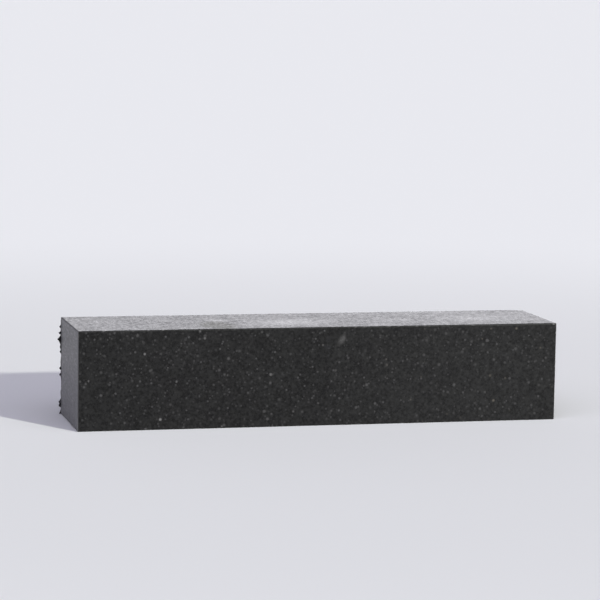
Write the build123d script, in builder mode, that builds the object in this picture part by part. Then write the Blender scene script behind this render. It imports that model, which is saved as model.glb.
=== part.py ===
from build123d import *
import os

# Sharpening whetstone: one bar of dark, fine-grained natural stone, sawn to size and honed.
# It is a single stone from end to end, with no second grit, no backing and no holder.
#
# Frame: +X runs along the bar, +Y from the honed front face to the rear face, +Z up.
# The origin is the centre of the sole, the face that the bar rests on. Millimetres.

os.makedirs("parts", exist_ok=True)

# Driving dimensions of the bar
bar_length = 200.0  # between the two end faces
bar_depth = 45.0  # from the front face to the rear face
bar_height = 40.4  # from the sole to the honing face
arris_radius = 0.7  # the honed edges are eased by hand, so that they don't chip or catch

# Break-out flakes: the left end was sawn from the front, and the last of the stone snapped
# instead of being cut. It left thin flakes along the rear arris that stand past the end face.
flake_thickness = 1.3  # measured in from the rear face
flake_root = 0.8  # how far a flake's outline is carried into the bar, as it is the same stone

# Each outline is a list of (reach past the end face, distance along the arris). The upper two
# are measured down from the honing face, and the lowest one is measured up from the sole.
upper_flake = [
    (0.0, 2.4),
    (0.75, 3.8),
    (0.45, 5.2),
    (1.2, 6.4),
    (0.3, 7.5),
    (1.6, 9.0),
    (0.4, 11.2),
    (0.6, 13.6),
    (0.0, 15.4),
]
middle_flake = [
    (0.0, 16.6),
    (0.9, 21.2),
    (0.35, 22.2),
    (0.9, 23.7),
    (0.0, 26.2),
]
lower_flake = [
    (0.0, 2.6),
    (0.9, 3.8),
    (0.7, 4.8),
    (0.8, 5.6),
    (0.0, 6.6),
]

# Corner chip: a shallow piece knocked off the far top corner at the right end
chip_along = 6.0  # along the top rear edge
chip_across = 2.6  # along the top edge of the right end
chip_down = 1.1  # down the rear vertical edge

left_end = -bar_length / 2
right_end = bar_length / 2
front = -bar_depth / 2
rear = bar_depth / 2

# Every outline again, as (x, z) points in the plane of the rear face
flake_outlines = [
    [(left_end - reach, bar_height - drop) for reach, drop in upper_flake],
    [(left_end - reach, bar_height - drop) for reach, drop in middle_flake],
    [(left_end - reach, rise) for reach, rise in lower_flake],
]
rear_plane = Plane.XZ.offset(-rear)  # its normal points forward, into the bar

# The chip's break is a plane through one point on each of the three edges of the corner
chip_plane = Plane(
    origin=(right_end - chip_along, rear, bar_height),
    z_dir=(1 / chip_along, 1 / chip_across, 1 / chip_down),
)


# The stone bar: the honed block, its break-out flakes and its chipped corner
with BuildPart() as stone_bar:
    with BuildSketch(Plane.XY):
        Rectangle(bar_length, bar_depth)
    extrude(amount=bar_height)

    # the edges round the rear face stay as the saw left them, and all the others are eased
    rear_face = stone_bar.faces().sort_by(Axis.Y)[-1]
    fillet(stone_bar.edges() - rear_face.edges(), radius=arris_radius)

    split(bisect_by=chip_plane, keep=Keep.BOTTOM)

    for outline in flake_outlines:
        root_x = left_end + flake_root
        root_points = [(root_x, outline[-1][1]), (root_x, outline[0][1])]
        with BuildSketch(rear_plane):
            with BuildLine():
                Polyline(*outline, *root_points, close=True)
            make_face()
        extrude(amount=flake_thickness)

stone_bar.part.label = "stone_bar"
export_step(stone_bar.part, "parts/stone_bar.step")
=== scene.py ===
import math
import random

import bpy
import numpy as np
from mathutils import Euler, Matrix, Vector, noise


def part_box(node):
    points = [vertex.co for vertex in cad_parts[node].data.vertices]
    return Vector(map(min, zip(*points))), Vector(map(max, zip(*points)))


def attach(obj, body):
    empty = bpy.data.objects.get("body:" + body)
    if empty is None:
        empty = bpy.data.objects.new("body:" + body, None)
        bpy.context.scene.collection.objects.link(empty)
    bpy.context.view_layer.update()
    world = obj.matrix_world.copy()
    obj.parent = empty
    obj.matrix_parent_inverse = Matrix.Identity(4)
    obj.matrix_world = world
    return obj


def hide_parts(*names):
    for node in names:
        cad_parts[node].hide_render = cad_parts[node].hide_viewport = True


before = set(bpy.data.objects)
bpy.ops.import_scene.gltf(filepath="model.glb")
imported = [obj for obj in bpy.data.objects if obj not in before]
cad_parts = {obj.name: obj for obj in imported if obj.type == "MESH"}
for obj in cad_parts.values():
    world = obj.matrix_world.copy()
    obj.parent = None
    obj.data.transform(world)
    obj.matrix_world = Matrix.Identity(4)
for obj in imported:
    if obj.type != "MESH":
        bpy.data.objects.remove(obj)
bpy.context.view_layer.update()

random.seed(7)

# ---------------------------------------------------------------------------------------------
# The bar's sizes. The frame is in metres, and the stone is shaped in millimetres, as its grain,
# its chips and its flakes are a few tenths of a millimetre to a few millimetres across.
# ---------------------------------------------------------------------------------------------
MM = 0.001                    # in metres
stone_low, stone_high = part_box("stone_bar")
RIGHT = stone_high.x / MM
LEFT = -RIGHT                 # the origin is midway between the two ends; only flakes reach past
FRONT = stone_low.y / MM
REAR = stone_high.y / MM
SOLE = stone_low.z / MM
TOP = stone_high.z / MM

HONED_ARRIS = 0.5             # how round the worked edges are
RAW_ARRIS = 0.12              # the edges round the rear face stay as the saw left them
REAR_ZONE = 2.4               # how far in from the rear face its roughness is felt
SHARPEST_SMOOTH = 38.0        # degrees: a sharper fold than this is drawn as a hard edge

# The piece knocked off the far top corner at the right: along the top rear edge, across the end's
# top edge, and down the end's rear edge.
CORNER_CHIP = (6.0, 2.6, 1.1)

# The clearest chips of use: (place on the edge, bite into the edge, radius of the scoop).
CLEAR_CHIPS = [
    ((RIGHT - 0.9, FRONT, TOP), 0.4, 1.1),
    ((RIGHT, FRONT, 36.4), 0.38, 0.8),
    ((RIGHT, FRONT, 22.3), 0.34, 0.8),
]

# How many small chips there are along each edge of the front's length, each edge of the ends'
# depth, and the left upright edge.
LONG_EDGE_CHIPS = 15
SHORT_EDGE_CHIPS = 5
UPRIGHT_CHIPS = 4

# Flakes that stand past the left end along its rear arris: (height above the sole, reach).
FLAKES = [
    (0.0, 0.7), (1.0, 0.3), (1.9, 0.02), (2.8, 0.05), (3.3, 0.95), (4.3, 0.7), (5.2, 0.85),
    (6.0, 0.4), (6.6, 0.02), (9.4, 0.22), (10.2, 0.0), (13.6, 0.0), (15.4, 0.12), (16.0, 0.25),
    (16.5, 0.95), (17.2, 0.2), (18.5, 0.12), (19.1, 0.95), (19.8, 0.15), (21.6, 0.22), (24.4, 0.0),
    (25.4, 0.1), (26.0, 0.6), (26.9, 0.15), (27.8, 0.55), (29.0, 0.3), (30.2, 0.75), (31.2, 1.65),
    (32.3, 0.7), (33.1, 0.15), (33.9, 1.3), (34.5, 0.2), (35.6, 0.2), (36.5, 0.75), (37.3, 0.12),
    (38.6, 0.1), (40.4, 0.0),
]


# ---------------------------------------------------------------------------------------------
# Shaping the stone
# ---------------------------------------------------------------------------------------------
def rise(start, end, values):
    """0 below start and 1 above end, with a smooth rise between."""
    share = np.clip((values - start) / (end - start), 0.0, 1.0)
    return share * share * (3.0 - 2.0 * share)


def lumps(points, size, layers=1, shift=0.0):
    """Smooth noise about 0 at each point, with lumps of the given size."""
    place = Vector((shift, -shift, 0.5 * shift))
    return np.array([
        noise.fractal(Vector(point) / size + place, 1.0, 2.0, layers) for point in points
    ])


def stations(low, high, low_zone, high_zone, fine_step, wide_step):
    """Grid lines along one side: close together in a zone at each end, and wider between."""
    inner_low = low + low_zone
    inner_high = high - high_zone
    return np.concatenate([
        np.linspace(low, inner_low, round(low_zone / fine_step), endpoint=False),
        np.linspace(inner_low, inner_high, round((inner_high - inner_low) / wide_step), endpoint=False),
        np.linspace(inner_high, high, round(high_zone / fine_step) + 1),
    ])


def block_grid(xs, ys, zs):
    """The closed surface of a block as (points, four-sided faces), with the faces turned outwards."""
    numbers = np.arange(len(xs) * len(ys) * len(zs)).reshape(len(xs), len(ys), len(zs))
    sides = [
        numbers[:, 0, :], numbers[:, -1, :].T,
        numbers[0, :, :].T, numbers[-1, :, :],
        numbers[:, :, 0].T, numbers[:, :, -1],
    ]
    faces = []
    for side in sides:
        corners = [side[:-1, :-1], side[1:, :-1], side[1:, 1:], side[:-1, 1:]]
        faces.append(np.stack(corners, axis=-1).reshape(-1, 4))
    used, faces = np.unique(np.concatenate(faces), return_inverse=True)
    block = np.stack(np.meshgrid(xs, ys, zs, indexing="ij"), axis=-1).reshape(-1, 3)
    return block[used], faces.reshape(-1, 4)


def ease_arrises(points):
    """Rounds the worked edges, a little unevenly, and leaves the rear ones nearly sharp.

    Gives the new points, and how much each one lies on a worked edge.
    """
    raw = rise(REAR - REAR_ZONE, REAR - 0.3, points[:, 1])
    uneven = 1.0 + 0.35 * lumps(points, 9.0, 2, 3.0)
    radius = (HONED_ARRIS * uneven * (1.0 - raw) + RAW_ARRIS * raw)[:, None]
    low = np.array([LEFT, FRONT, SOLE]) + radius
    high = np.array([RIGHT, REAR, TOP]) - radius
    core = np.clip(points, low, high)
    out = points - core
    across_edge = np.sort(np.abs(out), axis=1)[:, 1] / radius[:, 0]
    eased = rise(0.05, 0.6, across_edge) * (1.0 - raw)
    return core + out * radius / np.linalg.norm(out, axis=1, keepdims=True), eased


def roughen_rear(points):
    """Gives the rear face the low, stepped relief of stone that was roughly sawn and never honed.

    It has broad swells, ledges and fine roughness, and is calmer near the top and the sole.
    """
    near = rise(REAR - REAR_ZONE, REAR, points[:, 1])
    some = near > 0.0
    spots = points[some] * np.array([1.0, 0.0, 1.0])
    broad = lumps(spots, 17.0, 2, 11.0)
    steps = 5.0 * (lumps(spots * np.array([1.0, 1.0, 1.7]), 24.0, 3, 31.0) + 0.5)
    ledge = np.floor(steps) + rise(0.72, 1.0, steps - np.floor(steps))
    fine = lumps(spots, 2.6, 4, 5.0)
    to_edge = np.minimum(TOP - points[some, 2], points[some, 2] - SOLE)
    calm = 0.35 + 0.65 * rise(0.0, 5.0, to_edge)
    depth = calm * (0.42 + 0.3 * broad + 0.16 * (ledge - 2.5)) + 0.12 * fine
    points[some, 1] -= np.clip(depth, 0.0, 1.3) * near[some]
    return points


def break_out(points, block):
    """Raises the flakes past the left end, and lets small bites into the right end.

    The points of the plain block say how near the rear face each point was to begin with.
    """
    levels = points * np.array([0.0, 0.0, 1.0])
    heights, reaches = zip(*FLAKES)
    ragged = 1.0 + 0.25 * lumps(levels, 0.8, 2, 2.0)
    reach = np.interp(points[:, 2], heights, reaches) * ragged
    thick = 0.4 + 0.3 * lumps(levels, 5.0, 2, 8.0)
    behind = rise(0.0, 0.3, block[:, 1] - (REAR - thick) + 0.3)
    at_left = 1.0 - rise(LEFT, LEFT + 1.8, points[:, 0])
    points[:, 0] -= reach * behind * at_left

    bite = 1.5 * lumps(levels, 3.4, 3, 44.0)
    deep = np.clip(bite, 0.0, 0.9) * rise(REAR - 1.3, REAR - 0.1, block[:, 1])
    at_right = rise(RIGHT - 1.8, RIGHT, points[:, 0])
    points[:, 0] -= deep * at_right
    return points


def chip_corner(points):
    """Takes the far top corner of the right end off along one plane.

    Gives the new points, and which of them now lie on the break.
    """
    steepness = 1.0 / np.array(CORNER_CHIP)
    slope = steepness / np.linalg.norm(steepness)
    through = np.array([RIGHT - CORNER_CHIP[0], REAR, TOP])
    above = (points - through) @ slope
    struck = above > 0.0
    points[struck] -= above[struck][:, None] * slope
    return points, struck


def nick(points, spot, out, bite, radius):
    """Scoops one small shell-shaped chip out of an arris. Gives which points it moved."""
    ball = np.array(spot) + np.array(out) / np.linalg.norm(out) * (radius - bite)
    away = points - ball
    distance = np.linalg.norm(away, axis=1)
    inside = distance < radius
    points[inside] = ball + away[inside] * (radius / distance[inside])[:, None]
    return inside


def nick_arrises(points):
    """Small chips from use, along the worked edges.

    Gives the new points, and how freshly broken each one is.
    """
    edges = []
    for z_side in (SOLE, TOP):
        edges.append(((LEFT, FRONT, z_side), (RIGHT, FRONT, z_side), LONG_EDGE_CHIPS))
    for x_side in (LEFT, RIGHT):
        for z_side in (SOLE, TOP):
            edges.append(((x_side, FRONT, z_side), (x_side, REAR, z_side), SHORT_EDGE_CHIPS))
    edges.append(((LEFT, FRONT, SOLE), (LEFT, FRONT, TOP), UPRIGHT_CHIPS))
    spots = list(CLEAR_CHIPS)
    for start, end, count in edges:
        for _ in range(count):
            along = random.uniform(0.03, 0.97)
            spot = tuple(a + along * (b - a) for a, b in zip(start, end))
            spots.append((spot, random.uniform(0.2, 0.34), random.uniform(0.7, 1.6)))

    broken = np.zeros(len(points))
    middle = np.array([0.0, 0.0, (TOP + SOLE) / 2])
    half_size = np.array([RIGHT, REAR, (TOP - SOLE) / 2])
    for spot, bite, radius in spots:
        from_middle = np.array(spot) - middle
        at_side = np.isclose(np.abs(from_middle), half_size)
        tilt = np.array([random.uniform(-0.2, 0.2) for _ in range(3)])
        out = np.sign(from_middle) * at_side + tilt
        moved = nick(points, spot, out, bite, radius)
        broken[moved] = 1.0
    return points, broken


def whetstone():
    """The whole stone as one closed mesh. Each point keeps how rough, nicked and eased it is."""
    xs = stations(LEFT, RIGHT, low_zone=2.0, high_zone=2.0, fine_step=0.2, wide_step=0.75)
    ys = stations(FRONT, REAR, low_zone=1.2, high_zone=REAR_ZONE, fine_step=0.17, wide_step=1.6)
    zs = stations(SOLE, TOP, low_zone=1.2, high_zone=1.2, fine_step=0.2, wide_step=0.4)
    block, faces = block_grid(xs, ys, zs)
    points, eased = ease_arrises(block)
    points = roughen_rear(points)
    points = break_out(points, block)
    points, struck = chip_corner(points)
    points, nicked = nick_arrises(points)
    on_rear = np.isclose(block[:, 1], REAR)
    on_flake = points[:, 0] < LEFT - 0.05
    rough = np.where(on_rear | struck | on_flake, 1.0, 0.0)

    mesh = bpy.data.meshes.new("whetstone")
    mesh.from_pydata((points * MM).tolist(), [], faces.tolist())
    for name, values in (("rough", rough), ("nicked", nicked), ("eased", eased)):
        layer = mesh.attributes.new(name, "FLOAT", "POINT")
        layer.data.foreach_set("value", values.astype(np.float32))
    mesh.polygons.foreach_set("use_smooth", [True] * len(mesh.polygons))
    mesh.set_sharp_from_angle(angle=math.radians(SHARPEST_SMOOTH))
    mesh.update()
    piece = bpy.data.objects.new("whetstone", mesh)
    bpy.context.collection.objects.link(piece)
    return piece


# ---------------------------------------------------------------------------------------------
# Finishes: shader maths as plain expressions
# ---------------------------------------------------------------------------------------------
class Number:
    """A shader socket that holds one number and takes part in ordinary arithmetic."""

    def __init__(self, graph, socket):
        self.graph = graph
        self.socket = socket

    def maths(self, operation, first, second):
        values = {0: first, 1: second}
        return self.graph.node("ShaderNodeMath", {"operation": operation}, values).number()

    def __add__(self, other):
        return self.maths("ADD", self, other)

    def __radd__(self, other):
        return self.maths("ADD", other, self)

    def __sub__(self, other):
        return self.maths("SUBTRACT", self, other)

    def __rsub__(self, other):
        return self.maths("SUBTRACT", other, self)

    def __mul__(self, other):
        return self.maths("MULTIPLY", self, other)

    def __rmul__(self, other):
        return self.maths("MULTIPLY", other, self)

    def __pow__(self, other):
        return self.maths("POWER", self, other)

    def rise(self, start, end):
        """0 at start and 1 at end, with a smooth rise between. It falls if end is below start."""
        settings = {"interpolation_type": "SMOOTHSTEP"}
        values = {"Value": self, "From Min": start, "From Max": end}
        return self.graph.node("ShaderNodeMapRange", settings, values).number("Result")


class Node:
    """A node just made, from which the sockets are taken."""

    def __init__(self, graph, made):
        self.graph = graph
        self.made = made

    def number(self, name=0):
        return Number(self.graph, self.made.outputs[name])

    def socket(self, name):
        return self.made.outputs[name]


class Graph:
    """A tree of shader nodes, added one at a time."""

    def __init__(self, tree):
        self.tree = tree
        self.tree.nodes.clear()

    def node(self, kind, settings=None, values=None):
        """Adds a node: its settings first, then the values or links of its sockets."""
        made = self.tree.nodes.new(kind)
        for name, setting in (settings or {}).items():
            setattr(made, name, setting)
        for name, value in (values or {}).items():
            socket = made.inputs[name]
            if isinstance(value, Number):
                self.tree.links.new(value.socket, socket)
            elif isinstance(value, bpy.types.NodeSocket):
                self.tree.links.new(value, socket)
            else:
                socket.default_value = value
        return Node(self, made)

    def blend(self, factor, first, second):
        """A colour between two others."""
        settings = {"data_type": "RGBA", "clamp_factor": True}
        values = {0: factor, 6: first, 7: second}
        return self.node("ShaderNodeMix", settings, values).socket(2)


class Finish(Graph):
    """One material, whose patterns are placed on the piece in millimetres."""

    def __init__(self, name):
        self.material = bpy.data.materials.new(name)
        self.material.use_nodes = True
        super().__init__(self.material.node_tree)

    def place(self, stretch=(1.0, 1.0, 1.0), turn=(0.0, 0.0, 0.0)):
        """The place on the piece in millimetres, stretched and turned."""
        at = self.node("ShaderNodeTexCoord").socket("Object")
        scale = tuple(part / MM for part in stretch)
        values = {"Vector": at, "Scale": scale, "Rotation": turn}
        return self.node("ShaderNodeMapping", {}, values).socket("Vector")

    def lumps(self, place, size, detail=2.0, roughness=0.5):
        """Smooth noise from 0 to 1, with lumps of the given size in millimetres."""
        values = {"Vector": place, "Scale": 1.0 / size, "Detail": detail, "Roughness": roughness}
        return self.node("ShaderNodeTexNoise", {}, values).number("Fac")

    def grains(self, place, spacing, radius, share):
        """Mineral grains scattered through the stone, as the face cuts them.

        Their sizes vary about the radius, and the share says how many of the cells hold one.
        Gives how much of a grain is here, and a random number of its own.
        """
        values = {"Vector": place, "Scale": 1.0 / spacing, "Randomness": 1.0}
        cells = self.node("ShaderNodeTexVoronoi", {"feature": "F1"}, values)
        own = self.node("ShaderNodeSeparateColor", {}, {"Color": cells.socket("Color")})
        size = (radius / spacing) * (0.55 + 0.75 * own.number("Blue"))
        here = (size - cells.number("Distance")) * (spacing / radius)
        chosen = own.number("Red").rise(1.0 - share, 1.0 - share + 0.02)
        return here.rise(0.0, 0.9) * chosen, own.number("Green")

    def blot(self, place, centre, reach, turn=(0.0, 0.0, 0.0), soft=0.5):
        """A soft-edged spot: 1 at its middle and 0 past its reach along each axis."""
        values = {"Vector": place, "Location": centre, "Rotation": turn, "Scale": reach}
        settings = {"vector_type": "TEXTURE"}
        near = self.node("ShaderNodeMapping", settings, values).socket("Vector")
        length = self.node("ShaderNodeVectorMath", {"operation": "LENGTH"}, {0: near})
        return length.number("Value").rise(1.0, 1.0 - soft)

    def sides(self, place):
        """How far along the bar and how high up it a place is, as two numbers."""
        parts = self.node("ShaderNodeSeparateXYZ", {}, {"Vector": place})
        return parts.number("X"), parts.number("Z")

    def attribute(self, name):
        """A number that the mesh keeps at each of its points."""
        return self.node("ShaderNodeAttribute", {"attribute_name": name}).number("Fac")

    def finished(self, **values):
        """Closes the material with its one surface shader."""
        named = {name.replace("_", " "): value for name, value in values.items()}
        surface = self.node("ShaderNodeBsdfPrincipled", {}, named)
        self.node("ShaderNodeOutputMaterial", {}, {"Surface": surface.socket("BSDF")})
        return self.material


def grey(level, warmth=0.0):
    """A stone's grey as a colour. Warmth takes it towards tan, or towards blue below 0."""
    return (level * (1.01 + 0.5 * warmth), level * 0.985, level * (1.04 - warmth), 1.0)


# Colours of the honed faces, the sawn ends and the marks of use; the sawn grey and the rubbed edges are
# partly painted sheen
DARK_MINERAL = grey(0.0047)
PALE_MINERAL = grey(0.0156)
TINY_SPECK = grey(0.044)
SMALL_SPECK = grey(0.043, 0.01)
WHITE_SPECK = grey(0.108, 0.02)
TAN_SPECK = grey(0.09, 0.2)
# partly painted sheen: the sawn ends' grey also stands in for their grazing reflection
SAWN_DARK_AND_SHEEN = grey(0.045)
SAWN_PALE_AND_SHEEN = grey(0.155, -0.02)
SAWN_PIT = grey(0.025)
RAW_STONE = grey(0.085, 0.01)
FRESH_CHIP = grey(0.1, 0.02)
# partly painted sheen: the rubbed edge colours also stand in for the rounded edges' reflection
RUBBED_HONED_AND_SHEEN = grey(0.032, 0.01)
RUBBED_SAWN_AND_SHEEN = grey(0.13)
SCUFF = grey(0.065, 0.02)
BLUISH_SMUDGE = (0.022, 0.0215, 0.028, 1.0)
OLIVE_STAIN = (0.058, 0.058, 0.036, 1.0)


class HonedStone(Finish):
    """Near-black fine-grained stone: honed faces with mineral specks, and raw broken ones."""

    def __init__(self):
        super().__init__("honed_stone")
        self.at = self.place()
        self.along, height = self.sides(self.at)
        self.grain_and_painted_light_to_right = self.along.rise(-30.0, 80.0)    # the grain changes a little along the bar, and painted light makes the stone lighter to the right
        self.on_top = height.rise(TOP - 0.5, TOP - 0.1)
        self.on_end = (self.along * self.along).rise((RIGHT - 0.35) ** 2, (RIGHT - 0.08) ** 2)
        self.rough = self.attribute("rough")
        self.nicked = self.attribute("nicked")
        self.eased = self.attribute("eased")

        # unevenness: two kinds of fine grain, soft mottling, level saw marks and slow wear
        self.fine = self.lumps(self.at, 1.1, 3.0, 0.6)
        self.grit = self.lumps(self.at, 1.1, 4.0, 0.75)
        self.mottle = self.lumps(self.at, 3.0, 2.0)
        self.marks = self.lumps(self.place(stretch=(1.0, 0.22, 1.0)), 0.9, 3.0, 0.6)
        self.wear = self.lumps(self.at, 7.0, 4.0, 0.65)

        # marks of use on the top: a dried stain with a pale tide behind it, a dull patch to its
        # left, and two worn patches
        stain = self.blot(self.at, (-41.0, -11.0, TOP), (11.5, 22.0, 1.0), soft=0.9)
        self.stain = (stain * (1.0 + 3.0 * (self.wear - 0.5))).rise(0.1, 0.8)
        self.tide = self.blot(self.at, (-38.5, 3.0, TOP), (5.5, 8.0, 1.0), soft=0.9)
        self.dull = self.blot(self.at, (-50.0, 13.0, TOP), (4.6, 9.0, 1.0), soft=0.7)
        worn_middle = self.blot(self.at, (-12.0, -6.0, TOP), (24.0, 15.0, 1.0), soft=0.9)
        worn_right = self.blot(self.at, (73.0, -4.0, TOP), (22.0, 14.0, 1.0), soft=0.9)
        self.worn = worn_middle + worn_right * 0.6

    def sawn_end_and_sheen(self):
        """The ends are only sawn, with level saw marks, and greyer than the honed faces: partly the
        sawn stone's own grey, partly painted sheen.
        """
        tone = 0.5 + 1.4 * (self.marks - 0.5) + 0.7 * (self.grit - 0.5)
        return self.blend(tone, SAWN_DARK_AND_SHEEN, SAWN_PALE_AND_SHEEN)

    def minerals(self):
        """Dark minerals with paler ones in grains of three sizes, and the ends with dark pits."""
        cloud = self.lumps(self.at, 26.0, 1.0)
        tiny_grain, tiny_tone = self.grains(self.place(turn=(0.6, 0.9, 0.4)), 1.3, 0.55, 0.8)
        small_grain, small_tone = self.grains(self.place(turn=(1.1, 0.4, 0.8)), 2.1, 0.75, 0.8)
        bright_grain, bright_tone = self.grains(self.place(turn=(0.3, 0.7, 1.2)), 4.1, 0.7, 0.75)

        pale = 0.75 * self.fine.rise(0.28, 0.78) + 0.3 * (self.mottle - 0.5)
        # painted light: the honed faces are painted lighter towards the right end, standing in for the
        # key light's sheen
        pale = pale + 0.3 * (cloud - 0.5) + 0.2 * self.grain_and_painted_light_to_right
        colour = self.blend(pale, DARK_MINERAL, PALE_MINERAL)
        sawn_and_sheen = self.blend(tiny_grain * tiny_tone * 0.7, self.sawn_end_and_sheen(), SAWN_PIT)
        # the ends get the sawn grey, which is partly painted sheen
        colour = self.blend(self.on_end * (1.0 - self.rough), colour, sawn_and_sheen)
        colour = self.blend(tiny_grain * tiny_tone ** 2.0 * (1.0 - self.on_end), colour, TINY_SPECK)
        colour = self.blend(small_grain * small_tone ** 2.0, colour, SMALL_SPECK)
        warm = bright_tone.rise(0.45, 0.5) * self.grain_and_painted_light_to_right
        tint = self.blend(warm, WHITE_SPECK, TAN_SPECK)
        return self.blend(bright_grain * bright_tone ** 3.0, colour, tint)

    def with_breaks(self, colour):
        """Adds the raw rear face and corner, the worked edges painted slightly lighter (partly rub,
        partly painted sheen), and the chips.

        The flakes past the left end stay as dark as the stone.
        """
        raw = self.rough * self.along.rise(LEFT - 0.1, LEFT + 0.5)
        colour = self.blend(raw * (0.55 + 0.9 * (self.grit - 0.5)), colour, RAW_STONE)
        rubbed_and_sheen = self.blend(self.on_end, RUBBED_HONED_AND_SHEEN, RUBBED_SAWN_AND_SHEEN)
        # partly painted sheen: the rounded worked edges are painted lighter, partly for wear and partly
        # for their reflection
        colour = self.blend(self.eased ** 3.0 * (0.2 + 0.7 * self.fine), colour, rubbed_and_sheen)
        return self.blend(self.nicked * 0.8, colour, FRESH_CHIP)

    def with_marks(self, colour):
        """Adds a slanted scuff and two faint smudges on the front, and the stain on the top."""
        ragged = self.lumps(self.place(turn=(0.2, 0.5, 0.1)), 0.9, 2.0)
        scuff = self.blot(self.at, (8.2, FRONT, 35.2), (1.9, 1.0, 3.7), (0.0, 0.5, 0.0), 0.9)
        smudge = self.blot(self.at, (2.1, FRONT, 32.2), (1.9, 1.0, 1.2)) * 0.7
        smudge = smudge + self.blot(self.at, (2.3, FRONT, 35.4), (1.2, 1.0, 1.6)) * 0.5
        colour = self.blend(scuff * ragged * 1.1, colour, SCUFF)
        colour = self.blend(smudge * ragged * 0.5, colour, BLUISH_SMUDGE)
        return self.blend(self.stain * self.on_top * (1.0 - self.eased) * 0.9, colour, OLIVE_STAIN)

    def polish(self):
        """How much polished skin there is: most on the top, and none on an end or a raw face."""
        across_bar = self.place(stretch=(1.0, 0.42, 1.0), turn=(0.0, 0.0, 0.1))
        tooth = self.lumps(across_bar, 1.4, 4.0, 0.75)
        top = 0.66 + 1.4 * (self.wear - 0.5) + 3.5 * (tooth - 0.5) + 0.3 * self.worn + 0.34 * self.tide
        # painted sheen: the top's polish grows towards the right, standing in for brighter light there
        top = top + 0.14 * self.grain_and_painted_light_to_right - 0.48 * self.stain - 0.2 * self.dull
        others = 0.15 * (1.0 - self.on_top) * (1.0 - self.eased)
        polish = top * self.on_top * (1.0 - 0.3 * self.eased) + others
        return polish * (1.0 - self.on_end) * (1.0 - self.rough)

    def roughness(self):
        """How rough the surface is under its polished skin."""
        honed = 0.3 + 0.1 * (self.mottle - 0.5) + 0.45 * (self.grit - 0.5) + 0.3 * self.eased
        worked = honed + (0.16 + 0.7 * (self.marks - 0.5)) * self.on_end
        worked = worked - (0.08 * self.worn + 0.05 * self.tide)
        return worked + (0.72 - worked) * self.rough

    def relief(self):
        """Hardly any unevenness on the worked faces, and more on the raw ones."""
        height = (self.fine + 0.8 * self.mottle) * (1.0 + 7.0 * self.rough)
        values = {"Strength": 1.0, "Distance": 0.02 * MM, "Height": height}
        return self.node("ShaderNodeBump", {}, values).socket("Normal")

    def closed(self):
        """The whole material. Under its polished skin the stone mirrors very little."""
        return self.finished(
            Base_Color=self.with_marks(self.with_breaks(self.minerals())),
            Roughness=self.roughness(),
            Normal=self.relief(),
            IOR=1.5,
            Specular_Tint=(0.2, 0.2, 0.2, 1.0),
            Coat_Weight=self.polish(),
            Coat_IOR=1.2,
            Coat_Roughness=0.15,
        )


# ---------------------------------------------------------------------------------------------
# The studio: floor, light and camera
# ---------------------------------------------------------------------------------------------
def studio_floor():
    """A pale floor, flat all round, out to the horizon. Its colour is painted a little lighter far from
    the stone, painted light that stands in for a brighter lit backdrop.
    """
    reach = 400.0                 # metres each way
    corners = [(-reach, -reach, 0.0), (reach, -reach, 0.0), (reach, reach, 0.0), (-reach, reach, 0.0)]
    mesh = bpy.data.meshes.new("studio_floor")
    mesh.from_pydata(corners, [], [(0, 1, 2, 3)])
    floor = bpy.data.objects.new("studio_floor", mesh)
    bpy.context.collection.objects.link(floor)

    paper = Finish("pale_paper")
    at = paper.node("ShaderNodeTexCoord").socket("Object")
    away = paper.node("ShaderNodeVectorMath", {"operation": "LENGTH"}, {0: at}).number("Value")
    near_tone = (0.81, 0.81, 0.825, 1.0)
    far_tone_painted_light = (0.935, 0.935, 0.95, 1.0)
    # painted light: the floor's colour grows lighter away from the stone, as if lit more brightly far
    # off
    tone = paper.blend(away.rise(0.2, 0.8), near_tone, far_tone_painted_light)
    floor.data.materials.append(paper.finished(Base_Color=tone, Roughness=0.9))


def aim(thing, place, target):
    """Puts a light at a place and turns it towards its target."""
    thing.location = place
    thing.rotation_euler = (Vector(target) - Vector(place)).to_track_quat("-Z", "Y").to_euler()


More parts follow.
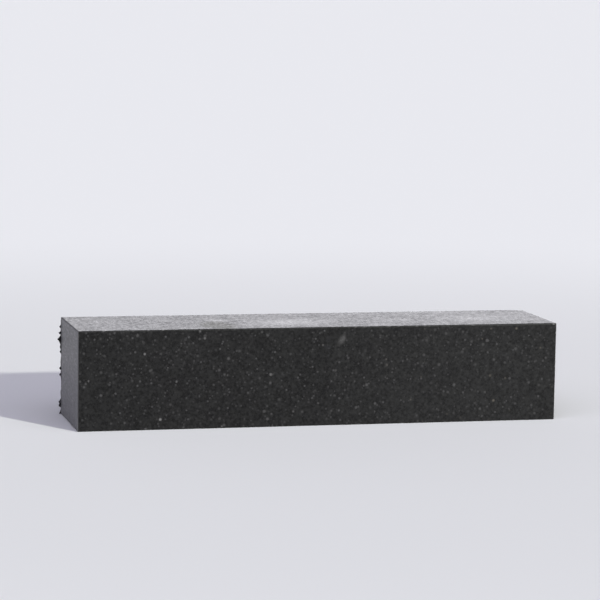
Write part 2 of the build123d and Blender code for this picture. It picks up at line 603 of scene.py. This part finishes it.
def key_light():
    """One clear light from low at the front right, which throws a shadow to the rear left."""
    light = bpy.data.lights.new("key_light", "SUN")
    light.angle = math.radians(1.5)
    light.energy = 3.9
    light.color = (0.97, 1.0, 0.88)
    thing = bpy.data.objects.new("key_light", light)
    bpy.context.collection.objects.link(thing)
    middle = Vector((0.0, 0.0, 0.02))
    to_the_light = Vector((0.498, -0.819, 0.285))
    aim(thing, middle + to_the_light, middle)


def soft_surround():
    """A pale band of light along the horizon, and one broad soft light high up in front."""
    world = bpy.data.worlds.new("soft_surround")
    world.use_nodes = True
    sky = Graph(world.node_tree)
    at = sky.node("ShaderNodeTexCoord").socket("Generated")
    parts = sky.node("ShaderNodeSeparateXYZ", {}, {"Vector": at})
    up = parts.number("Z")
    low = up.rise(0.55, 0.12)
    softbox = (0.67 * up - 0.73 * parts.number("Y") - 0.15 * parts.number("X")).rise(0.4, 0.95)
    softbox_tint = (0.86, 0.85, 1.0, 1.0)
    horizon_tint = (0.96, 0.95, 1.0, 1.0)
    colour = sky.blend(low, softbox_tint, horizon_tint)
    strength = 0.05 + 0.94 * low + 1.36 * softbox * (1.0 - low)
    light = sky.node("ShaderNodeBackground", {}, {"Color": colour, "Strength": strength})
    sky.node("ShaderNodeOutputWorld", {}, {"Surface": light.socket("Background")})
    bpy.context.scene.world = world


def place_camera():
    """Stands a metre off at the front left, higher than the stone, and looks a little down on it."""
    camera = bpy.data.cameras.new("camera")
    camera.sensor_width = 36.0
    camera.lens = 152.56
    thing = bpy.data.objects.new("camera", camera)
    bpy.context.collection.objects.link(thing)
    thing.location = (-0.25614, -1.01039, 0.17431)
    turns = (83.1272, -0.8686, -13.8992)    # degrees about X, Y and Z
    thing.rotation_euler = Euler(tuple(math.radians(turn) for turn in turns))
    bpy.context.scene.camera = thing
    bpy.context.scene.view_settings.view_transform = "Standard"


stone_piece = whetstone()
stone_piece.data.materials.append(HonedStone().closed())
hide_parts("stone_bar")
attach(stone_piece, "root")

studio_floor()
key_light()
soft_surround()
place_camera()
